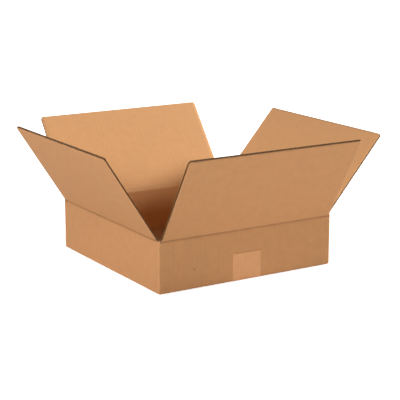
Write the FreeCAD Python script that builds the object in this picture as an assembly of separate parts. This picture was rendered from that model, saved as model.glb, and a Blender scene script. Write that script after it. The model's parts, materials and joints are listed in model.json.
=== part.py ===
import FreeCAD, Part
import math
import os

# Shallow corrugated box: four walls, a taped bottom and four open top flaps.
# Millimetres and degrees. X runs along the front wall, Y to the back, Z up.
# The origin is on the ground, in the middle of the bottom.

# Board
board = 3.8
liner = 0.35
medium = 0.3
flute_pitch = 7.9
flute_floor = 1.4
flute_mouth_depth = 12.0
side_hollow_depth = 2.6

# Walls
inside_length = 304.8
inside_width = 304.8
front_crease_height = 78.5
fold_radius = 3.0
clearance = 0.3

# Flaps
slot_inset = 4.8
seam_gap = 0.6
side_hinge_depth = 1.0
fold_shut_angle = 90.0
fold_back_angle = 118.0
front_lean = 30.7
back_lean = 37.2
left_lean = 32.9
right_lean = 41.3

# Glue tab inside the back right corner
tab_width = 35.0
tab_thickness = 3.0
tab_end_slope = 12.0

# Tape over the bottom seam
tape_width = 50.8
tape_thickness = 0.2
tape_offset = -1.7
tape_front_rise = 45.0
tape_back_rise = 41.0

# Sizes that follow from these
outside_length = inside_length + 2 * board
outside_width = inside_width + 2 * board
floor_thickness = 2 * board
side_crease_height = front_crease_height + board - side_hinge_depth + clearance
front_flap_width = outside_length - 2 * slot_inset
side_flap_width = outside_width - 2 * slot_inset
front_flap_depth = (outside_width - seam_gap) / 2
side_flap_depth = (outside_length - seam_gap) / 2 - side_hinge_depth
shut_slope = math.tan(math.radians(fold_shut_angle / 2))
back_slope = math.tan(math.radians(fold_back_angle / 2))

X_AXIS = FreeCAD.Vector(1, 0, 0)
Z_AXIS = FreeCAD.Vector(0, 0, 1)
ORIGIN = FreeCAD.Vector(0, 0, 0)


def block(x_range, y_range, z_range):
    """A box between two values on each axis."""
    corner = FreeCAD.Vector(x_range[0], y_range[0], z_range[0])
    length = x_range[1] - x_range[0]
    width = y_range[1] - y_range[0]
    height = z_range[1] - z_range[0]
    return Part.makeBox(length, width, height, corner)


def prism(points, run):
    """A closed outline of 3-D points, pushed along one vector."""
    outline = Part.makePolygon(points + [points[0]])
    return Part.Face(outline).extrude(run)


def section_bar(section, width):
    """A section of (y, z) points, extruded along X and centred on it."""
    points = [FreeCAD.Vector(-width / 2, y, z) for y, z in section]
    return prism(points, FreeCAD.Vector(width, 0, 0))


def face_outwards(shape, turn, hinge_y, hinge_height):
    """Move a piece made at the front crease to the wall that the turn about Z gives."""
    placed = shape.copy()
    placed.translate(FreeCAD.Vector(0, hinge_y, hinge_height))
    placed.rotate(ORIGIN, Z_AXIS, turn)
    return placed


# Board edges

def flute_mouth(x, outer_y, wide_side_out, flap_depth):
    """One flute, open at the flap's free edge, with its wide side at the outer or inner liner."""
    half_narrow = flute_floor / 2
    half_wide = flute_pitch / 2 - half_narrow - 1.5 * medium
    if wide_side_out:
        wide_y = outer_y + liner
        narrow_y = outer_y + board - liner - medium
    else:
        wide_y = outer_y + board - liner
        narrow_y = outer_y + liner + medium
    bottom = flap_depth - flute_mouth_depth
    corners = [(x - half_wide, wide_y), (x + half_wide, wide_y)]
    corners += [(x + half_narrow, narrow_y), (x - half_narrow, narrow_y)]
    points = [FreeCAD.Vector(px, py, bottom) for px, py in corners]
    return prism(points, FreeCAD.Vector(0, 0, flute_mouth_depth + board))


def flute_mouths(width, outer_y, flap_depth):
    """The row of flutes along a free edge, every second one turned over."""
    reach = width / 2 - side_hollow_depth - flute_pitch / 2
    steps = int(reach / (flute_pitch / 2))
    places = range(-steps, steps + 1)
    return [flute_mouth(i * flute_pitch / 2, outer_y, i % 2 == 0, flap_depth) for i in places]


def side_hollow(side, width, outer_y, flap_depth):
    """The flute that the slot cut laid open, all the way up one side edge."""
    edge_x = side * (width / 2 + board)
    deep_x = side * (width / 2 - side_hollow_depth)
    shallow_x = side * (width / 2 - side_hollow_depth / 2)
    low_y = outer_y + liner
    high_y = outer_y + board - liner
    corners = [(edge_x, low_y), (deep_x, low_y), (shallow_x, high_y), (edge_x, high_y)]
    points = [FreeCAD.Vector(px, py, -board) for px, py in corners]
    return prism(points, FreeCAD.Vector(0, 0, flap_depth + 2 * board))


# Flaps and the wall tops that they turn on

def flap(width, depth, hinge_depth, lean):
    """A flap at the front crease, with its hinge line on the X axis and leaning outwards."""
    outer_y = -hinge_depth
    inner_y = board - hinge_depth
    section = [(0, clearance), (inner_y, clearance + inner_y * shut_slope), (inner_y, depth)]
    section += [(outer_y, depth)]
    if hinge_depth > 0:
        section += [(outer_y, clearance + hinge_depth * back_slope)]
    panel = section_bar(section, width)
    hollows = flute_mouths(width, outer_y, depth)
    hollows += [side_hollow(side, width, outer_y, depth) for side in (-1, 1)]
    panel = panel.cut(Part.makeCompound(hollows))
    panel.rotate(ORIGIN, X_AXIS, lean)
    return panel


def wall_top(width, hinge_depth, drop):
    """The top of a wall at the front crease, down to a drop below the hinge line."""
    outer_y = -hinge_depth
    inner_y = board - hinge_depth
    section = [(0, -clearance), (inner_y, -clearance - inner_y * shut_slope), (inner_y, -drop)]
    section += [(outer_y, -drop)]
    if hinge_depth > 0:
        section += [(outer_y, -clearance - hinge_depth * back_slope)]
    return section_bar(section, width)


def front_flap(turn, lean):
    """The front flap, or the back flap when turned half round."""
    panel = flap(front_flap_width, front_flap_depth, 0, lean)
    return face_outwards(panel, turn, -outside_width / 2, front_crease_height)


def side_flap(turn, lean):
    """The right flap, or the left one, which close over the front and back flaps."""
    panel = flap(side_flap_width, side_flap_depth, side_hinge_depth, lean)
    return face_outwards(panel, turn, side_hinge_depth - outside_length / 2, side_crease_height)


# Box body

def walls():
    """Four walls round the inside, with rounded folds and the corner slots above them."""
    drop = board + 2 * board * shut_slope + side_hinge_depth * back_slope
    corner_top = front_crease_height - clearance
    half_length = outside_length / 2
    half_width = outside_width / 2
    ring = block((-half_length, half_length), (-half_width, half_width), (0, corner_top + board))
    upright = [edge for edge in ring.Edges if abs(edge.tangentAt(edge.FirstParameter).z) > 0.5]
    ground = [edge for edge in ring.Edges if edge.CenterOfMass.z < 0.001]
    ring = ring.makeFillet(fold_radius, upright + ground)
    above = block((-half_length, half_length), (-half_width, half_width), (corner_top, 2 * corner_top))
    ring = ring.cut(above)
    inner_x = (-inside_length / 2, inside_length / 2)
    inner_y = (-inside_width / 2, inside_width / 2)
    ring = ring.cut(block(inner_x, inner_y, (-board, 2 * corner_top)))
    cuts = []
    tops = []
    for turn in (0, 180):
        opening = block((-(front_flap_width / 2 + clearance), front_flap_width / 2 + clearance),
                        (-board, 2 * board), (-drop, board))
        cuts.append(face_outwards(opening, turn, -half_width, front_crease_height))
        top = wall_top(front_flap_width + 2 * clearance, 0, drop)
        tops.append(face_outwards(top, turn, -half_width, front_crease_height))
    for turn in (90, -90):
        opening = block((-(side_flap_width / 2 + clearance), side_flap_width / 2 + clearance),
                        (-board, 2 * board), (-drop, board))
        cuts.append(face_outwards(opening, turn, side_hinge_depth - half_length, side_crease_height))
        top = wall_top(side_flap_width + 2 * clearance, side_hinge_depth, drop)
        tops.append(face_outwards(top, turn, side_hinge_depth - half_length, side_crease_height))
    return ring.cut(cuts).fuse(tops)


def bottom_flaps():
    """Four bottom flaps: the side pair below, meeting at the taped seam, and the other pair on them."""
    half_seam = seam_gap / 2
    length_reach = outside_length / 2 - board / 2
    width_reach = outside_width / 2 - board / 2
    flap_x = (-front_flap_width / 2, front_flap_width / 2)
    flap_y = (-side_flap_width / 2, side_flap_width / 2)
    lower = (0, board)
    upper = (board, floor_thickness)
    left = block((-length_reach, -half_seam), flap_y, lower)
    right = block((half_seam, length_reach), flap_y, lower)
    front = block(flap_x, (-width_reach, -half_seam), upper)
    back = block(flap_x, (half_seam, width_reach), upper)
    return [left, right, front, back]


def glue_tab():
    """The maker's tab, glued to the back wall beside the right corner, with sloped ends."""
    far_x = inside_length / 2 + board / 2
    near_x = inside_length / 2 - tab_width
    low_z = floor_thickness + clearance
    high_z = front_crease_height - board - 2 * clearance
    outline = [(far_x, low_z), (far_x, high_z)]
    outline += [(near_x, high_z - tab_end_slope), (near_x, low_z + tab_end_slope)]
    points = [FreeCAD.Vector(x, inside_width / 2 + board / 2, z) for x, z in outline]
    return prism(points, FreeCAD.Vector(0, -tab_thickness - board / 2, 0))


def rounded_section(inset):
    """The box's outer section across the seam, drawn in a little: a U with rounded folds."""
    half = outside_width / 2 - inset
    top = max(tape_front_rise, tape_back_rise) + board
    radius = fold_radius - inset
    slab = block((-tape_width / 2, tape_width / 2), (-half, half), (inset, 2 * top))
    folds = [edge for edge in slab.Edges if edge.CenterOfMass.z < inset + 0.001]
    folds = [edge for edge in folds if abs(edge.CenterOfMass.y) > half - 0.001]
    slab = slab.makeFillet(radius, folds)
    return slab


def tape():
    """The strip of tape: under the seam, round both folds and up the front and back walls."""
    strip = rounded_section(0).cut(rounded_section(tape_thickness))
    half_width = outside_width / 2 + board
    tall = 4 * (tape_front_rise + tape_back_rise)
    wide = (-tape_width, tape_width)
    above_front = block(wide, (-half_width, 0), (tape_front_rise, tall))
    above_back = block(wide, (0, half_width), (tape_back_rise, tall))
    strip = strip.cut([above_front, above_back])
    strip.translate(FreeCAD.Vector(tape_offset, 0, 0))
    return strip


def box_body(strip):
    """Walls, bottom flaps and glue tab as one folded piece, with the tape bedded in its face."""
    body = walls().fuse(bottom_flaps() + [glue_tab()])
    return body.cut(strip).removeSplitter()


def save(name, shape):
    """Write one piece, checked as one valid solid."""
    solids = shape.Solids
    print(name, "solids", len(solids), "valid", shape.isValid(), "volume", round(shape.Volume, 1))
    solids[0].exportStep(os.path.join("parts", name + ".step"))


os.makedirs("parts", exist_ok=True)
strip = tape()
save("bottom_tape", strip)
save("box_body", box_body(strip))
save("front_top_flap", front_flap(0, front_lean))
save("back_top_flap", front_flap(180, back_lean))
save("right_top_flap", side_flap(90, right_lean))
save("left_top_flap", side_flap(-90, left_lean))
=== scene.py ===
import bpy
import bmesh
import json
import math
from mathutils import Matrix, Vector, noise


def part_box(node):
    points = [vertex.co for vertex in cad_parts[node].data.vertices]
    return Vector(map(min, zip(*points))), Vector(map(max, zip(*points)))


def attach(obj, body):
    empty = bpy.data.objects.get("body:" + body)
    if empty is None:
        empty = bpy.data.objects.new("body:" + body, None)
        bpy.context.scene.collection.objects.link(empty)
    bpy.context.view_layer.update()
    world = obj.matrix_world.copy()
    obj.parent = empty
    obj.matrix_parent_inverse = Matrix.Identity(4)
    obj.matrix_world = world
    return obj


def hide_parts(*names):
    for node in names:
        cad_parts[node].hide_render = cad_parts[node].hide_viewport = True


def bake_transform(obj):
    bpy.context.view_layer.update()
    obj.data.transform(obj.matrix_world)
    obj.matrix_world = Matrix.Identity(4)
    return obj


# A shallow corrugated box, taped shut below, with its four top flaps leaning open.
# Metres. X runs along the front wall, Y to the back, Z up.

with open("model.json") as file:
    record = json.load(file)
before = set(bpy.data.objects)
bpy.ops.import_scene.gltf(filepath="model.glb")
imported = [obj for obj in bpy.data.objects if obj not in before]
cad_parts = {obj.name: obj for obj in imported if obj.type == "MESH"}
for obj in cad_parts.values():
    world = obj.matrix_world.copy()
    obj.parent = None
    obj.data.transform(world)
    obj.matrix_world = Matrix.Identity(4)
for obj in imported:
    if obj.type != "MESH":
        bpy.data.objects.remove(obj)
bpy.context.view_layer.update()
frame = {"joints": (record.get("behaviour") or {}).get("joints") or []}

MM = 0.001
joints = {joint["name"]: joint for joint in frame["joints"]}

# Board, and the steps that a flap's sheets are divided in
BOARD = 3.8 * MM
LINER = 0.42 * MM
MEDIUM = 0.32 * MM
FLUTE_PITCH = 7.9 * MM
FLUTE_DRIFT = 0.018
FLUTE_SETBACK = 0.3 * MM
STEPS_PER_FLUTE = 12
FLUTE_ROWS = 28
LINER_COLUMNS = 60
LINER_ROWS = 64

# Box
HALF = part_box("box_body")[1][0]
WALL_HALF = HALF - BOARD
FOLD_RADIUS = 3.0 * MM
FOLD_STEPS = 8
WALL_STEPS = 8
SEAM_GAP = 1.6 * MM
FLAP_GAP = 0.3 * MM
SOFT_EDGE = 0.4 * MM
ALMOST_ONE = 0.999

# Slots between the flaps
SLOT_INSET = 4.8 * MM
SLOT_BOTTOM = 81.6 * MM
SLOT_DEPTH_OF_U = 2.4 * MM

# Creases: a flap's close rows and their share of all rows, its bend, and the score pressed into it
CREASE_REACH = 4.2 * MM
CREASE_ROWS = 0.3
BEND_REACH = 2.8 * MM
SCORE_REACH = 2.8 * MM
SCORE_INSIDE = 0.4 * MM
SCORE_OUTSIDE = 0.9 * MM
SCORE_RISE = {"front": 1.4 * MM, "back": 1.4 * MM, "left": -0.8 * MM, "right": -0.8 * MM}

# Cut edges: how far they are blunted, squeezed and ragged, how quickly the raggedness changes,
# and a seed that keeps it apart on each sheet
FLAP_CORNER = 2.2 * MM
CRUSH_REACH = 4.5 * MM
CRUSH_INSIDE = {"front": 0.3 * MM, "back": 0.3 * MM, "left": 1.5 * MM, "right": 1.5 * MM}
CRUSH_OUTSIDE = 0.12 * MM
CRUSH_TAB = 0.25 * MM
RAGGED_INSIDE = 0.9 * MM
RAGGED_OUTSIDE = 0.35 * MM
RAGGED_TOP = 0.15 * MM
SIDE_GRAIN = 260
TOP_GRAIN = 20
SHEET_SEED = 7

# Glue tab, inside the back wall beside the right one
TAB_WIDTH = 35.0 * MM
TAB_THICKNESS = 3.0 * MM
TAB_SLOPE = 12.0 * MM
TAB_MARGIN = 0.3 * MM
TAB_COLUMNS = 10
TAB_ROWS = 12

# Tape, with its steps up the front, round a fold, under the box, round a fold and up the back
TAPE_THICKNESS = 0.14 * MM
TAPE_LIFT = 0.03 * MM
TAPE_WAVE = 0.6 * MM
TAPE_GRAIN = 70
TAPE_TOOTH = 0.35 * MM
TAPE_TEETH = 24
TAPE_END = 3.0 * MM
TAPE_BACK_DROP = 4.0 * MM
TAPE_STEPS = (12, 8, 24, 8, 12)

# A stray dark fibre on the front wall: across and up
SPECK_PLACE = (-95.4 * MM, 30.2 * MM)
SPECK_RADIUS = 1.3 * MM
SPECK_STRENGTH = 0.55

# Colours
OUTSIDE_COLOUR = (0.475, 0.234, 0.099)
INSIDE_COLOUR = (0.575, 0.3, 0.129)
FLUTE_COLOUR = (0.19, 0.1, 0.044)
CUT_COLOUR = (0.15, 0.075, 0.033)
TAPE_COLOUR = (0.58, 0.288, 0.124)
GREEN_CAST = (0.38, 0.25, 0.10)
FLECK_COLOUR = (0.12, 0.055, 0.02)
SPECK_COLOUR = (0.1, 0.05, 0.02)

# Scales of the patterns per metre: the same both ways, or across the flutes and along them
CLOUD_SCALE = 70
CAST_SCALE = 11
FELT_SCALE = 420
FLECK_SCALE = 110
FIBRE_STRETCH = (1500, 230, 1)
STREAK_STRETCH = (60, 9, 1)

# A fleck's largest share of its cell, the share of cells without one, and how strongly a streak's painted
# light and shade change the colour
FLECK_SIZE = 0.055
FLECK_SKIPPED = 0.8
STREAK_PAINTED_SHADE = 0.02

# Floor: its glow near the box, and the distances over which the glow rises to white
FLOOR_LEVEL = -0.3 * MM
FLOOR_REACH = 12
FLOOR_WHITE = 0.9
FLOOR_GLOW = 0.6
FLOOR_GLOW_STARTS = 0.3
FLOOR_GLOW_FULL = 1.5

# Lamps: name, azimuth and elevation in degrees, watts, width in metres
ROOM_LIGHT = 0.03
LAMP_DISTANCE = 2.6
LAMP_TARGET = Vector((0, 0, 0.1))
LAMPS = (
    ("right", -3, 26, 92, 0.4),
    ("left", 184, 25, 47, 0.5),
    ("back", 90, 26, 18, 0.8),
    ("front", 256, 20.5, 25, 0.35),
)

# Camera
CAMERA_LENS = 117.49
CAMERA_PLACE = (-1.0662, -1.7441, 0.5838)
CAMERA_DOWN = 13.52
CAMERA_TURN = -31.70

# Each wall's turn from the front wall, and the place of its middle along the unfolded sheet
TURNS = {"front": 0.0, "right": math.pi / 2, "back": math.pi, "left": -math.pi / 2}
ALONG = {"front": 0.0, "right": 2 * HALF, "back": -4 * HALF, "left": -2 * HALF}

# The UV map that holds the unfolded sheet's measures
SHEET_UV = "blank"

# Material order on every board piece; the first three are a flap's sheets too
OUTSIDE, INSIDE, FLUTES, RAW_EDGE = range(4)


# Meshes

def finish_mesh(bm, name, materials):
    """Turn a bmesh into an object with its materials."""
    mesh = bpy.data.meshes.new(name)
    bm.to_mesh(mesh)
    bm.free()
    for material in materials:
        mesh.materials.append(material)
    piece = bpy.data.objects.new(name, mesh)
    bpy.context.scene.collection.objects.link(piece)
    return piece


def upright_grid(bm, width, low, high, columns, rows):
    """A flat grid that stands in the XZ plane, facing -Y, centred on X."""
    made = bmesh.ops.create_grid(bm, x_segments=columns, y_segments=rows, size=0.5)
    verts = made["verts"]
    stand = Matrix.Rotation(math.pi / 2, 4, "X") @ Matrix.Diagonal((width, high - low, 1, 1))
    place = Matrix.Translation((0, 0, (low + high) / 2)) @ stand
    bmesh.ops.transform(bm, matrix=place, verts=verts)
    return verts


def thicken(bm, verts, shift):
    """Close a sheet into a slab by pushing a copy of it along a vector."""
    faces = list({face for vert in verts for face in vert.link_faces})
    made = bmesh.ops.extrude_face_region(bm, geom=faces, use_keep_orig=True)
    pushed = [item for item in made["geom"] if isinstance(item, bmesh.types.BMVert)]
    bmesh.ops.translate(bm, vec=shift, verts=pushed)
    shell = list({face for vert in verts + pushed for face in vert.link_faces})
    bmesh.ops.recalc_face_normals(bm, faces=shell)
    return shell


def smooth_step(value):
    """0 below 0, 1 above 1 and an even ramp between."""
    value = min(max(value, 0.0), 1.0)
    return value * value * (3 - 2 * value)


def score_depth(from_line):
    """How far a crease's score is pressed in at a distance from its line, from 0 to 1."""
    share = min(abs(from_line) / SCORE_REACH, 1.0)
    return (1 - share * share) ** 2


def side_crush(from_edge):
    """How far the slotting knives squeezed the board near a cut side, from 0 to 1."""
    return max(0.0, 1 - from_edge / CRUSH_REACH) ** 2


def slot_edge(z_from_ground):
    """How far a panel's side edge stands in from the corner, round the slot's U and above it."""
    left = 1 - min(max((z_from_ground - SLOT_BOTTOM) / SLOT_DEPTH_OF_U, 0.0), 1.0)
    return SLOT_INSET * math.sqrt(1 - left * left)


# Top flaps

def flap_row_height(share, depth):
    """Rows lie close together over the crease and evenly from there to the free edge."""
    if share < CREASE_ROWS:
        return CREASE_REACH * (2 * share / CREASE_ROWS - 1)
    rest = (share - CREASE_ROWS) / (1 - CREASE_ROWS)
    return CREASE_REACH + rest * (depth - CREASE_REACH)


def flap_outline(x_share, z, depth, hinge_height, layer):
    """Where a point of a flap's sheet lies across the flap: its slots, blunt corners and ragged sides."""
    edge = max(slot_edge(hinge_height + z), FOLD_RADIUS)
    corner = max(depth - z, 0.0)
    if corner < FLAP_CORNER:
        edge += FLAP_CORNER - math.sqrt(FLAP_CORNER ** 2 - (FLAP_CORNER - corner) ** 2)
    if abs(x_share) > 0.99 and z > CREASE_REACH:
        ragged = RAGGED_INSIDE if layer == INSIDE else RAGGED_OUTSIDE
        edge += ragged * noise.noise(Vector((z * SIDE_GRAIN, layer * SHEET_SEED, x_share * 3)))
    return x_share * (HALF - edge)


def flap_sheets(bm, side, depth, hinge_depth, hinge_height):
    """Outer liner, fluted medium and inner liner of one flap, standing straight up."""
    full = 2 * (HALF - SLOT_INSET)
    score_painted_shade_mask = bm.verts.layers.float.new("score_painted_shade_mask")
    waves = int(full / FLUTE_PITCH) * STEPS_PER_FLUTE
    liner_grid = (LINER_COLUMNS, LINER_ROWS)
    for layer, grid in ((OUTSIDE, liner_grid), (INSIDE, liner_grid), (FLUTES, (waves, FLUTE_ROWS))):
        verts = upright_grid(bm, 2, 0, 1, *grid)
        for vert in verts:
            z = flap_row_height(vert.co.z, depth)
            if layer == FLUTES:
                z = min(z, depth - FLUTE_SETBACK)
            elif vert.co.z > ALMOST_ONE:
                z += RAGGED_TOP * noise.noise(Vector((vert.co.x * TOP_GRAIN, layer * SHEET_SEED, 3)))
            x = flap_outline(vert.co.x, z, depth, hinge_height, layer)
            pressed = score_depth(z - SCORE_RISE[side])
            crushed = side_crush(HALF - SLOT_INSET - abs(x)) * smooth_step(z / CREASE_REACH - 1)
            outer = SCORE_OUTSIDE * pressed + CRUSH_OUTSIDE * crushed - hinge_depth
            inner = BOARD - SCORE_INSIDE * pressed - CRUSH_INSIDE[side] * crushed - hinge_depth
            turn = 2 * math.pi * (x + ALONG[side] + FLUTE_DRIFT * z) / FLUTE_PITCH
            swing = (inner - outer - MEDIUM) / 2 - LINER
            level = (outer + inner - MEDIUM) / 2 + swing * math.sin(turn)
            vert.co = Vector((x, (outer, inner, level)[layer], z))
            # The pressing is also kept for the material, which paints shade along the crease
            vert[score_painted_shade_mask] = pressed
        # Each liner thickens towards the flutes, and the medium towards the inside
        thickness = (LINER, -LINER, MEDIUM)[layer]
        for face in thicken(bm, verts, Vector((0, thickness, 0))):
            rim = abs(face.normal.z) > 0.9 if layer == FLUTES else abs(face.normal.y) < 0.7
            faces_flutes = face.normal.y * (1, -1, 0)[layer] > 0.7
            face.material_index = FLUTES if faces_flutes else layer
            if rim:
                face.material_index = RAW_EDGE
            face.smooth = not rim


def blank_uv(bm, across, up):
    """Lay the sheet's own measures on each corner: metres across the flutes and along them."""
    layer = bm.loops.layers.uv.new(SHEET_UV)
    for face in bm.faces:
        for loop in face.loops:
            loop[layer].uv = (loop.vert.co.x + across, loop.vert.co.z + up)


def lean_out(bm, lean):
    """Bend the upright flap outwards about its hinge line, smoothly over the crease."""
    for vert in bm.verts:
        share = smooth_step((vert.co.z + BEND_REACH) / (2 * BEND_REACH))
        vert.co = Matrix.Rotation(lean * share, 3, "X") @ vert.co


def top_flap(side, materials):
    """One top flap with the crease below it, bent smoothly over the crease as it leans out."""
    joint = joints[side + "_crease"]
    hinge = Vector(joint["pos_m"])
    lean = math.radians(-90 - joint["range_deg"][0])
    hinge_depth = HALF - max(abs(hinge.x), abs(hinge.y))
    depth = HALF - FLAP_GAP - hinge_depth
    bm = bmesh.new()
    flap_sheets(bm, side, depth, hinge_depth, hinge.z)
    blank_uv(bm, ALONG[side], hinge.z)
    lean_out(bm, lean)
    to_wall = Matrix.Rotation(TURNS[side], 4, "Z") @ Matrix.Translation((0, hinge_depth - HALF, hinge.z))
    bmesh.ops.transform(bm, matrix=to_wall, verts=bm.verts)
    piece = finish_mesh(bm, side + "_flap_board", materials)
    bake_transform(piece)
    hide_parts(side + "_top_flap")
    return piece


# Box body

def side_of(point):
    """Which wall a point of the box belongs to."""
    if abs(point.y) >= abs(point.x):
        return "front" if point.y < 0 else "back"
    return "left" if point.x < 0 else "right"


def body_uv(bm):
    """Lay the unfolded sheet's measures on the walls, the bottom flaps and the glue tab."""
    layer = bm.loops.layers.uv.new(SHEET_UV)
    for face in bm.faces:
        side = side_of(face.calc_center_median())
        upright = Matrix.Rotation(-TURNS[side], 3, "Z")
        flat = abs(face.normal.z) > 0.7
        for loop in face.loops:
            point = upright @ loop.vert.co
            up = -HALF - point.y if flat else point.z
            loop[layer].uv = (point.x + ALONG[side], up)


def corner_span(point):
    """How far round a corner fold a point lies: 0 at its middle, 1 where the flat wall starts."""
    out_x = abs(point.x) - (HALF - FOLD_RADIUS)
    out_y = abs(point.y) - (HALF - FOLD_RADIUS)
    if out_x < 0 or out_y < 0:
        return 1.0
    return abs(math.atan2(out_y, out_x) - math.pi / 4) / (math.pi / 4)


def wall_cuts(lows, top):
    """Planes that divide the walls: their tops, the slots' bottoms and an even grid."""
    cuts = [((0, 0, 1), z) for z in (*lows, SLOT_BOTTOM)]
    cuts += [((0, 0, 1), top * step / WALL_STEPS) for step in range(1, WALL_STEPS)]
    reach = HALF - FOLD_RADIUS
    for axis in ((1, 0, 0), (0, 1, 0)):
        cuts += [(axis, reach * step / WALL_STEPS) for step in range(-WALL_STEPS, WALL_STEPS + 1)]
    return cuts


def wall_ring(bm):
    """Four walls with rounded corner and bottom folds, cut lower between the corner slots."""
    top = SLOT_BOTTOM + SLOT_INSET
    ring = bmesh.ops.create_cube(bm, size=1)["verts"]
    place = Matrix.Translation((0, 0, top / 2)) @ Matrix.Diagonal((2 * HALF, 2 * HALF, top, 1))
    bmesh.ops.transform(bm, matrix=place, verts=ring)
    lid = [face for face in bm.faces if face.normal.z > 0.5]
    bmesh.ops.delete(bm, geom=lid, context="FACES")
    folds = [edge for edge in bm.edges if not edge.is_boundary]
    bmesh.ops.bevel(
        bm, geom=folds, offset=FOLD_RADIUS, affect="EDGES", segments=FOLD_STEPS, profile=0.5, material=-1)
    base = [face for face in bm.faces if face.normal.z < -ALMOST_ONE]
    bmesh.ops.delete(bm, geom=base, context="FACES")
    lows = {side: joints[side + "_crease"]["pos_m"][2] - CREASE_REACH for side in TURNS}
    for normal, distance in wall_cuts(lows.values(), top):
        everything = [*bm.verts, *bm.edges, *bm.faces]
        point = Vector(normal) * distance
        bmesh.ops.bisect_plane(bm, geom=everything, plane_co=point, plane_no=normal, dist=1e-6)
    above = []
    for face in bm.faces:
        centre = face.calc_center_median()
        in_corner = corner_span(centre) < ALMOST_ONE
        if centre.z > (SLOT_BOTTOM if in_corner else lows[side_of(centre)]):
            above.append(face)
    bmesh.ops.delete(bm, geom=above, context="FACES")
    for vert in bm.verts:
        if abs(vert.co.z - SLOT_BOTTOM) < 0.01 * MM and vert.is_boundary:
            inset = corner_span(vert.co) * FOLD_RADIUS / SLOT_INSET
            vert.co.z += SLOT_DEPTH_OF_U * (1 - math.sqrt(1 - inset * inset))
    outside = list(bm.faces)
    made = bmesh.ops.extrude_face_region(bm, geom=outside, use_keep_orig=True)
    inner = [item for item in made["geom"] if isinstance(item, bmesh.types.BMVert)]
    for vert in inner:
        vert.co.x = min(max(vert.co.x, -WALL_HALF), WALL_HALF)
        vert.co.y = min(max(vert.co.y, -WALL_HALF), WALL_HALF)
        vert.co.z = max(vert.co.z, BOARD)
    bmesh.ops.remove_doubles(bm, verts=bm.verts, dist=0.001 * MM)
    bmesh.ops.recalc_face_normals(bm, faces=bm.faces)
    for face in bm.faces:
        centre = face.calc_center_median()
        face.smooth = corner_span(centre) < ALMOST_ONE or centre.z < FOLD_RADIUS
        if max(abs(centre.x), abs(centre.y)) < WALL_HALF + 0.1 * MM and centre.z > BOARD:
            face.material_index = INSIDE
        if face.normal.z > 0.7:
            face.material_index = RAW_EDGE


def flat_board(bm, low, high):
    """A flat board between two corners, with softened cut edges."""
    low, high = Vector(low), Vector(high)
    board = bmesh.ops.create_cube(bm, size=1)["verts"]
    place = Matrix.Translation((low + high) / 2) @ Matrix.Diagonal((*(high - low), 1))
    bmesh.ops.transform(bm, matrix=place, verts=board)
    edges = list({edge for vert in board for edge in vert.link_edges})
    made = bmesh.ops.bevel(
        bm, geom=edges, offset=SOFT_EDGE, affect="EDGES", segments=2, profile=0.5, material=-1)
    shell = {face for vert in made["verts"] for face in vert.link_faces}
    for face in shell:
        face.material_index = RAW_EDGE
        if face.normal.z > 0.9:
            face.material_index = INSIDE
        if face.normal.z < -0.9:
            face.material_index = OUTSIDE


def bottom_flaps(bm):
    """Outer pair from the left and right walls, and the inner pair over it, each meeting at a seam."""
    seam = SEAM_GAP / 2
    side = HALF - SLOT_INSET
    start = HALF - FOLD_RADIUS
    flat_board(bm, (-start, -side, 0), (-seam, side, BOARD))
    flat_board(bm, (seam, -side, 0), (start, side, BOARD))
    flat_board(bm, (-side, -WALL_HALF, BOARD), (side, -seam, 2 * BOARD))
    flat_board(bm, (-side, seam, BOARD), (side, WALL_HALF, 2 * BOARD))


def glue_tab(bm):
    """The side seam's tab, glued inside the back wall, with its ends cut at a slope."""
    low = 2 * BOARD + TAB_MARGIN
    high = joints["right_crease"]["pos_m"][2] - 2 * BOARD
    verts = upright_grid(bm, 1, 0, 1, TAB_COLUMNS, TAB_ROWS)
    for vert in verts:
        away = 0.5 - vert.co.x
        start = low + TAB_SLOPE * away
        end = high - TAB_SLOPE * away
        crush = side_crush(TAB_WIDTH * (1 - away)) * CRUSH_TAB
        vert.co.z = start + (end - start) * vert.co.z
        vert.co.x = WALL_HALF - TAB_WIDTH * away
        vert.co.y = WALL_HALF - TAB_THICKNESS + crush
    for face in thicken(bm, verts, Vector((0, TAB_THICKNESS - CRUSH_TAB, 0))):
        face.material_index = INSIDE if abs(face.normal.y) > 0.9 else RAW_EDGE


def box_body(materials):
    """Walls, bottom flaps and glue tab of the folded sheet."""
    bm = bmesh.new()
    wall_ring(bm)
    bottom_flaps(bm)
    glue_tab(bm)
    body_uv(bm)
    piece = finish_mesh(bm, "box_board", materials)
    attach(piece, "box")
    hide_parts("box_body")
    return piece


# Tape

def spread(start, end, steps):
    """Even stations from one distance to another, without the last."""
    return [start + (end - start) * step / steps for step in range(steps)]


def tape_stations(front_rise, back_rise):
    """Distances along the tape at which it is divided, close together round the two bottom folds."""
    arc = FOLD_RADIUS * math.pi / 2
    under = 2 * (HALF - FOLD_RADIUS)
    bends = [0.0, front_rise - FOLD_RADIUS]
    for length in (arc, under, arc, back_rise - FOLD_RADIUS):
        bends.append(bends[-1] + length)
    stations = []
    for start, end, steps in zip(bends, bends[1:], TAPE_STEPS):
        stations += spread(start, end, steps)
    return [*stations, bends[-1]]


def wrap_point(distance, front_rise):
    """A point of the box's skin and the way out of it, going down the front, under and up the back."""
    arc = FOLD_RADIUS * math.pi / 2
    reach = HALF - FOLD_RADIUS
    after_front = distance - (front_rise - FOLD_RADIUS)
    after_under = after_front - arc - 2 * reach
    if after_front < 0:
        turn, y, z = 0.0, -reach, front_rise - distance
    elif after_front < arc:
        turn, y, z = after_front / FOLD_RADIUS, -reach, FOLD_RADIUS
    elif after_under < 0:
        turn, y, z = math.pi / 2, after_front - arc - reach, FOLD_RADIUS
    elif after_under < arc:
        turn, y, z = math.pi / 2 + after_under / FOLD_RADIUS, reach, FOLD_RADIUS
    else:
        turn, y, z = math.pi, reach, FOLD_RADIUS + after_under - arc
    out = Vector((0, -math.cos(turn), -math.sin(turn)))
    return Vector((0, y, z)) + out * FOLD_RADIUS, out


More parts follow.
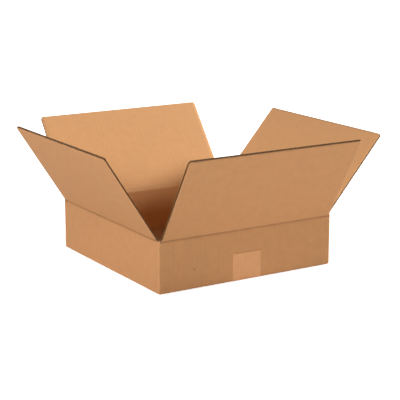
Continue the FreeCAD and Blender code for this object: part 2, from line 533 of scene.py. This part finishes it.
def bottom_tape(material):
    """One strip of tape down the front wall, along the bottom seam and up the back wall."""
    low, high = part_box("bottom_tape")
    front_rise = high[2]
    stations = tape_stations(front_rise, front_rise - TAPE_BACK_DROP)
    rows = len(stations) - 1
    columns = 2 * TAPE_TEETH
    bm = bmesh.new()
    facing = bm.verts.layers.float_vector.new("facing")
    run = bm.verts.layers.float.new("run")
    verts = upright_grid(bm, columns, 0, rows, columns, rows)
    for vert in verts:
        column, row = round(vert.co.x + columns / 2), round(vert.co.z)
        x = low[0] + (high[0] - low[0]) * column / columns
        distance = stations[row]
        inward = 1 if row < rows / 2 else -1
        near_end = max(0.0, 1 - min(distance, stations[-1] - distance) / TAPE_END)
        wave = 1 + noise.noise(Vector((x * TAPE_GRAIN, inward, 5)))
        cut = TAPE_TOOTH * (column % 2) + TAPE_WAVE * wave
        distance += cut * near_end * inward
        point, out = wrap_point(distance, front_rise)
        vert[facing] = out
        vert[run] = distance
        vert.co = Vector((x, 0, 0)) + point + out * TAPE_LIFT
    faces = list(bm.faces)
    made = bmesh.ops.extrude_face_region(bm, geom=faces, use_keep_orig=True)
    for item in made["geom"]:
        if isinstance(item, bmesh.types.BMVert):
            item.co += item[facing] * TAPE_THICKNESS
    bmesh.ops.recalc_face_normals(bm, faces=bm.faces)
    layer = bm.loops.layers.uv.new(SHEET_UV)
    for face in bm.faces:
        face.smooth = True
        for loop in face.loops:
            loop[layer].uv = (loop.vert.co.x, loop.vert[run])
    piece = finish_mesh(bm, "tape_strip", [material])
    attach(piece, "box")
    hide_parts("bottom_tape")
    return piece


# Shader groups

def new_group(name, inputs, outputs):
    """An empty shader group with named sockets, and its two end nodes."""
    group = bpy.data.node_groups.new(name, "ShaderNodeTree")
    for label, kind, value in inputs:
        socket = group.interface.new_socket(label, in_out="INPUT", socket_type=kind)
        if value is not None:
            socket.default_value = value
    for label, kind in outputs:
        group.interface.new_socket(label, in_out="OUTPUT", socket_type=kind)
    return group, group.nodes.new("NodeGroupInput"), group.nodes.new("NodeGroupOutput")


def math_node(tree, operation, first, second=None, third=None):
    """One maths node; each input is a number or the socket that feeds it."""
    node = tree.nodes.new("ShaderNodeMath")
    node.operation = operation
    for slot, value in enumerate((first, second, third)):
        if value is None:
            continue
        if isinstance(value, (int, float)):
            node.inputs[slot].default_value = value
        else:
            tree.links.new(value, node.inputs[slot])
    return node.outputs[0]


def stretched(tree, vector, scale):
    """The sheet's measures, stretched by a different factor each way."""
    node = tree.nodes.new("ShaderNodeMapping")
    node.inputs["Scale"].default_value = scale
    tree.links.new(vector, node.inputs["Vector"])
    return node.outputs["Vector"]


def noise_node(tree, vector, scale, detail, roughness=0.5):
    """Noise from 0 to 1, with its middle at a half."""
    node = tree.nodes.new("ShaderNodeTexNoise")
    node.inputs["Scale"].default_value = scale
    node.inputs["Detail"].default_value = detail
    node.inputs["Roughness"].default_value = roughness
    tree.links.new(vector, node.inputs["Vector"])
    return node.outputs["Fac"]


def tint(tree, factor, colour, shade):
    """Mix one colour socket towards a fixed shade by a factor."""
    node = tree.nodes.new("ShaderNodeMix")
    node.data_type = "RGBA"
    tree.links.new(factor, node.inputs["Factor"])
    tree.links.new(colour, node.inputs[6])
    node.inputs[7].default_value = (*shade, 1)
    return node.outputs[2]


def brighten(tree, colour, gain):
    """Multiply a colour by a grey value."""
    node = tree.nodes.new("ShaderNodeVectorMath")
    node.operation = "SCALE"
    tree.links.new(colour, node.inputs[0])
    tree.links.new(gain, node.inputs["Scale"])
    return node.outputs["Vector"]


def kraft_pulp_group():
    """Unbleached pulp: cloudy patches, fibres along the flutes, and a few dark flecks."""
    group, start, end = new_group(
        "kraft_pulp",
        [("Vector", "NodeSocketVector", None), ("Paper", "NodeSocketColor", (0.5, 0.3, 0.1, 1)),
         ("Cloud", "NodeSocketFloat", 0.1), ("Fibre", "NodeSocketFloat", 0.1),
         ("Flecks", "NodeSocketFloat", 0.3), ("Roughness", "NodeSocketFloat", 0.88)],
        [("Colour", "NodeSocketColor"), ("Height", "NodeSocketFloat"), ("Roughness", "NodeSocketFloat")])
    vector = start.outputs["Vector"]
    cloud = math_node(group, "SUBTRACT", noise_node(group, vector, CLOUD_SCALE, 4, 0.6), 0.5)
    cast = math_node(group, "SUBTRACT", noise_node(group, vector, CAST_SCALE, 2), 0.5)
    fibres = noise_node(group, stretched(group, vector, FIBRE_STRETCH), 1, 4, 0.65)
    fibres = math_node(group, "SUBTRACT", fibres, 0.5)
    felt = math_node(group, "SUBTRACT", noise_node(group, vector, FELT_SCALE, 3, 0.6), 0.5)
    gain = math_node(group, "MULTIPLY_ADD", cloud, start.outputs["Cloud"], 1.0)
    gain = math_node(group, "MULTIPLY_ADD", fibres, start.outputs["Fibre"], gain)
    gain = math_node(group, "MULTIPLY_ADD", felt, start.outputs["Fibre"], gain)
    colour = brighten(group, start.outputs["Paper"], gain)
    green = math_node(group, "MULTIPLY", cast, 0.5)
    green = math_node(group, "MAXIMUM", green, 0.0)
    colour = tint(group, green, colour, GREEN_CAST)
    cells = group.nodes.new("ShaderNodeTexVoronoi")
    cells.inputs["Scale"].default_value = FLECK_SCALE
    group.links.new(vector, cells.inputs["Vector"])
    split = group.nodes.new("ShaderNodeSeparateColor")
    group.links.new(cells.outputs["Color"], split.inputs["Color"])
    size = math_node(group, "MULTIPLY", split.outputs["Green"], FLECK_SIZE)
    near = math_node(group, "LESS_THAN", cells.outputs["Distance"], size)
    chosen = math_node(group, "GREATER_THAN", split.outputs["Red"], FLECK_SKIPPED)
    mask = math_node(group, "MULTIPLY", near, chosen)
    fleck = math_node(group, "MULTIPLY", mask, start.outputs["Flecks"])
    colour = tint(group, fleck, colour, FLECK_COLOUR)
    height = math_node(group, "MULTIPLY_ADD", felt, 0.6, fibres)
    rough = math_node(group, "MULTIPLY_ADD", cloud, 0.15, start.outputs["Roughness"])
    rough = math_node(group, "MULTIPLY_ADD", felt, 0.2, rough)
    group.links.new(colour, end.inputs["Colour"])
    group.links.new(height, end.inputs["Height"])
    group.links.new(rough, end.inputs["Roughness"])
    return group


def washboard_group():
    """The liner's faint, uneven ripple over the flutes beneath, with a crest every pitch."""
    group, start, end = new_group(
        "washboard",
        [("Vector", "NodeSocketVector", None), ("Pitch", "NodeSocketFloat", FLUTE_PITCH),
         ("Drift", "NodeSocketFloat", FLUTE_DRIFT)],
        [("Streaks", "NodeSocketFloat")])
    vector, drift = start.outputs["Vector"], start.outputs["Drift"]
    split = group.nodes.new("ShaderNodeSeparateXYZ")
    group.links.new(vector, split.inputs["Vector"])
    across = math_node(group, "MULTIPLY_ADD", split.outputs["Y"], drift, split.outputs["X"])
    turns = math_node(group, "DIVIDE", across, start.outputs["Pitch"])
    ripple = math_node(group, "COSINE", math_node(group, "MULTIPLY", turns, 2 * math.pi))
    uneven = noise_node(group, stretched(group, vector, STREAK_STRETCH), 1, 2)
    streaks = math_node(group, "MULTIPLY", ripple, uneven)
    group.links.new(streaks, end.inputs["Streaks"])
    return group


def place_group(tree, group, values):
    """Put a group in a material, with its numbers, colours and links."""
    node = tree.nodes.new("ShaderNodeGroup")
    node.node_tree = group
    for label, value in values.items():
        if isinstance(value, bpy.types.NodeSocket):
            tree.links.new(value, node.inputs[label])
        else:
            node.inputs[label].default_value = value
    return node


# Materials

def new_paper(name, groups, paper, cloud, fibre, flecks, roughness):
    """A material with pulp laid on the sheet's own measures, which also varies its roughness."""
    material = bpy.data.materials.new(name)
    material.use_nodes = True
    tree = material.node_tree
    shader = tree.nodes["Principled BSDF"]
    shader.inputs["Specular IOR Level"].default_value = 0.25
    blank = tree.nodes.new("ShaderNodeUVMap")
    blank.uv_map = SHEET_UV
    pulp = place_group(tree, groups["pulp"], {
        "Vector": blank.outputs["UV"], "Paper": (*paper, 1), "Cloud": cloud,
        "Fibre": fibre, "Flecks": flecks, "Roughness": roughness})
    tree.links.new(pulp.outputs["Roughness"], shader.inputs["Roughness"])
    return material, tree, shader, blank.outputs["UV"], pulp


def add_bump(tree, shader, height, distance):
    """Raise the surface by a height socket, over a distance in metres."""
    bump = tree.nodes.new("ShaderNodeBump")
    bump.inputs["Distance"].default_value = distance
    tree.links.new(height, bump.inputs["Height"])
    tree.links.new(bump.outputs["Normal"], shader.inputs["Normal"])


def liner_paper(name, groups, paper, cloud, score_painted_shade, speck=None):
    """Kraft liner: pulp colour, faint flute streaks painted as the ripple's light and shade, and painted
    shade along each crease, with a little of it for the crushed paper of the score.
    """
    material, tree, shader, blank, pulp = new_paper(
        name, groups, paper, cloud, fibre=0.16, flecks=0.45, roughness=0.86)
    board = place_group(tree, groups["washboard"], {"Vector": blank})
    # The ripple also lightens and darkens the colour a little: painted light and shade over its bump
    gain = math_node(tree, "MULTIPLY_ADD", board.outputs["Streaks"], STREAK_PAINTED_SHADE, 1.0)
    # Painted shade along the crease, stronger outside than inside, with a little of it for the crushed
    # paper of the score
    score_painted_shade_mask = tree.nodes.new("ShaderNodeAttribute")
    score_painted_shade_mask.attribute_name = "score_painted_shade_mask"
    gain = math_node(tree, "MULTIPLY_ADD", score_painted_shade_mask.outputs["Fac"], -score_painted_shade, gain)
    colour = brighten(tree, pulp.outputs["Colour"], gain)
    if speck:
        centre = tree.nodes.new("ShaderNodeVectorMath")
        centre.operation = "DISTANCE"
        centre.inputs[1].default_value = (*speck, 0)
        tree.links.new(blank, centre.inputs[0])
        mark = math_node(tree, "LESS_THAN", centre.outputs["Value"], SPECK_RADIUS)
        mark = math_node(tree, "MULTIPLY", mark, SPECK_STRENGTH)
        colour = tint(tree, mark, colour, SPECK_COLOUR)
    tree.links.new(colour, shader.inputs["Base Color"])
    height = math_node(tree, "MULTIPLY_ADD", board.outputs["Streaks"], 0.22, pulp.outputs["Height"])
    add_bump(tree, shader, height, 0.05 * MM)
    return material


def flute_paper(groups):
    """The darker recycled paper of the fluted medium, which the liners' hidden faces take too."""
    material, tree, shader, _, pulp = new_paper(
        "flute_paper", groups, FLUTE_COLOUR, cloud=0.2, fibre=0.2, flecks=0.6, roughness=0.9)
    tree.links.new(pulp.outputs["Colour"], shader.inputs["Base Color"])
    add_bump(tree, shader, pulp.outputs["Height"], 0.05 * MM)
    return material


def cut_paper(groups):
    """Cut edges of the board: rough and dark."""
    material, tree, shader, _, pulp = new_paper(
        "cut_edge", groups, CUT_COLOUR, cloud=0.5, fibre=0.5, flecks=0.6, roughness=0.92)
    tree.links.new(pulp.outputs["Colour"], shader.inputs["Base Color"])
    add_bump(tree, shader, pulp.outputs["Height"], 0.1 * MM)
    return material


def tape_paper(groups):
    """Smooth paper tape, paler than the board and a little shinier, with the flutes just showing in its
    bump and as painted light and shade.
    """
    material, tree, shader, blank, pulp = new_paper(
        "tape_paper", groups, TAPE_COLOUR, cloud=0.2, fibre=0.1, flecks=0.1, roughness=0.5)
    board = place_group(tree, groups["washboard"], {"Vector": blank})
    # The ripple also lightens and darkens the colour a little: painted light and shade over its bump
    gain = math_node(tree, "MULTIPLY_ADD", board.outputs["Streaks"], STREAK_PAINTED_SHADE, 1.0)
    tree.links.new(brighten(tree, pulp.outputs["Colour"], gain), shader.inputs["Base Color"])
    height = math_node(tree, "MULTIPLY_ADD", pulp.outputs["Height"], 0.3, board.outputs["Streaks"])
    add_bump(tree, shader, height, 0.03 * MM)
    return material


def make_object():
    """The whole box: four top flaps, the body and the tape, each in its papers."""
    groups = {"pulp": kraft_pulp_group(), "washboard": washboard_group()}
    outside = liner_paper(
        "kraft_outside", groups, OUTSIDE_COLOUR, cloud=0.24, score_painted_shade=0.3, speck=SPECK_PLACE)
    inside = liner_paper("kraft_inside", groups, INSIDE_COLOUR, cloud=0.14, score_painted_shade=0.05)
    board = [outside, inside, flute_paper(groups), cut_paper(groups)]
    for side in TURNS:
        top_flap(side, board)
    box_body(board)
    bottom_tape(tape_paper(groups))


# Floor, light and camera

def seen_directly(tree):
    """1 for rays that show the background itself: from the camera, in gloss or through glass."""
    path = tree.nodes.new("ShaderNodeLightPath")
    seen = math_node(tree, "ADD", path.outputs["Is Camera Ray"], path.outputs["Is Glossy Ray"])
    seen = math_node(tree, "ADD", seen, path.outputs["Is Transmission Ray"])
    return math_node(tree, "MINIMUM", seen, 1.0)


def floor():
    """A plain white floor that shows white and keeps the box's soft shadow."""
    bm = bmesh.new()
    bmesh.ops.create_grid(bm, x_segments=1, y_segments=1, size=FLOOR_REACH)
    bmesh.ops.translate(bm, vec=(0, 0, FLOOR_LEVEL), verts=bm.verts)
    material = bpy.data.materials.new("white_floor")
    material.use_nodes = True
    tree = material.node_tree
    shader = tree.nodes["Principled BSDF"]
    shader.inputs["Base Color"].default_value = (FLOOR_WHITE, FLOOR_WHITE, FLOOR_WHITE, 1)
    shader.inputs["Roughness"].default_value = 0.9
    shader.inputs["Specular IOR Level"].default_value = 0.1
    shader.inputs["Emission Color"].default_value = (1, 1, 1, 1)
    place = tree.nodes.new("ShaderNodeTexCoord")
    away = tree.nodes.new("ShaderNodeVectorMath")
    away.operation = "LENGTH"
    tree.links.new(place.outputs["Object"], away.inputs[0])
    glow = tree.nodes.new("ShaderNodeMapRange")
    glow.interpolation_type = "SMOOTHSTEP"
    glow.inputs["From Min"].default_value = FLOOR_GLOW_STARTS
    glow.inputs["From Max"].default_value = FLOOR_GLOW_FULL
    glow.inputs["To Min"].default_value = FLOOR_GLOW
    glow.inputs["To Max"].default_value = 1.0
    tree.links.new(away.outputs["Value"], glow.inputs["Value"])
    glow = math_node(tree, "MULTIPLY", seen_directly(tree), glow.outputs["Result"])
    tree.links.new(glow, shader.inputs["Emission Strength"])
    finish_mesh(bm, "floor", [material])


def studio_world():
    """A white background with very little light of its own."""
    world = bpy.data.worlds.new("studio")
    bpy.context.scene.world = world
    world.use_nodes = True
    tree = world.node_tree
    background = tree.nodes["Background"]
    background.inputs["Color"].default_value = (1, 1, 1, 1)
    strength = math_node(tree, "MAXIMUM", seen_directly(tree), ROOM_LIGHT)
    tree.links.new(strength, background.inputs["Strength"])


def area_lamp(name, azimuth, elevation, power, width):
    """A soft square lamp, aimed at the box from a direction in degrees."""
    data = bpy.data.lights.new(name, "AREA")
    data.shape = "SQUARE"
    data.size = width
    data.energy = power
    lamp = bpy.data.objects.new(name, data)
    bpy.context.scene.collection.objects.link(lamp)
    flat = LAMP_DISTANCE * math.cos(math.radians(elevation))
    away = Vector((flat * math.cos(math.radians(azimuth)), flat * math.sin(math.radians(azimuth)),
                   LAMP_DISTANCE * math.sin(math.radians(elevation))))
    lamp.location = LAMP_TARGET + away
    lamp.rotation_euler = (-away).to_track_quat("-Z", "Y").to_euler()
    lamp.visible_camera = False


def camera():
    """The photograph's view: a long lens, a little above the box, facing its front left corner."""
    data = bpy.data.cameras.new("camera")
    data.sensor_width = 36.0
    data.lens = CAMERA_LENS
    eye = bpy.data.objects.new("camera", data)
    bpy.context.scene.collection.objects.link(eye)
    eye.location = CAMERA_PLACE
    eye.rotation_euler = (math.radians(90 - CAMERA_DOWN), 0, math.radians(CAMERA_TURN))
    bpy.context.scene.camera = eye


make_object()
floor()
studio_world()
for name, azimuth, elevation, power, width in LAMPS:
    area_lamp(name, azimuth, elevation, power, width)
camera()
bpy.context.scene.view_settings.view_transform = "Standard"
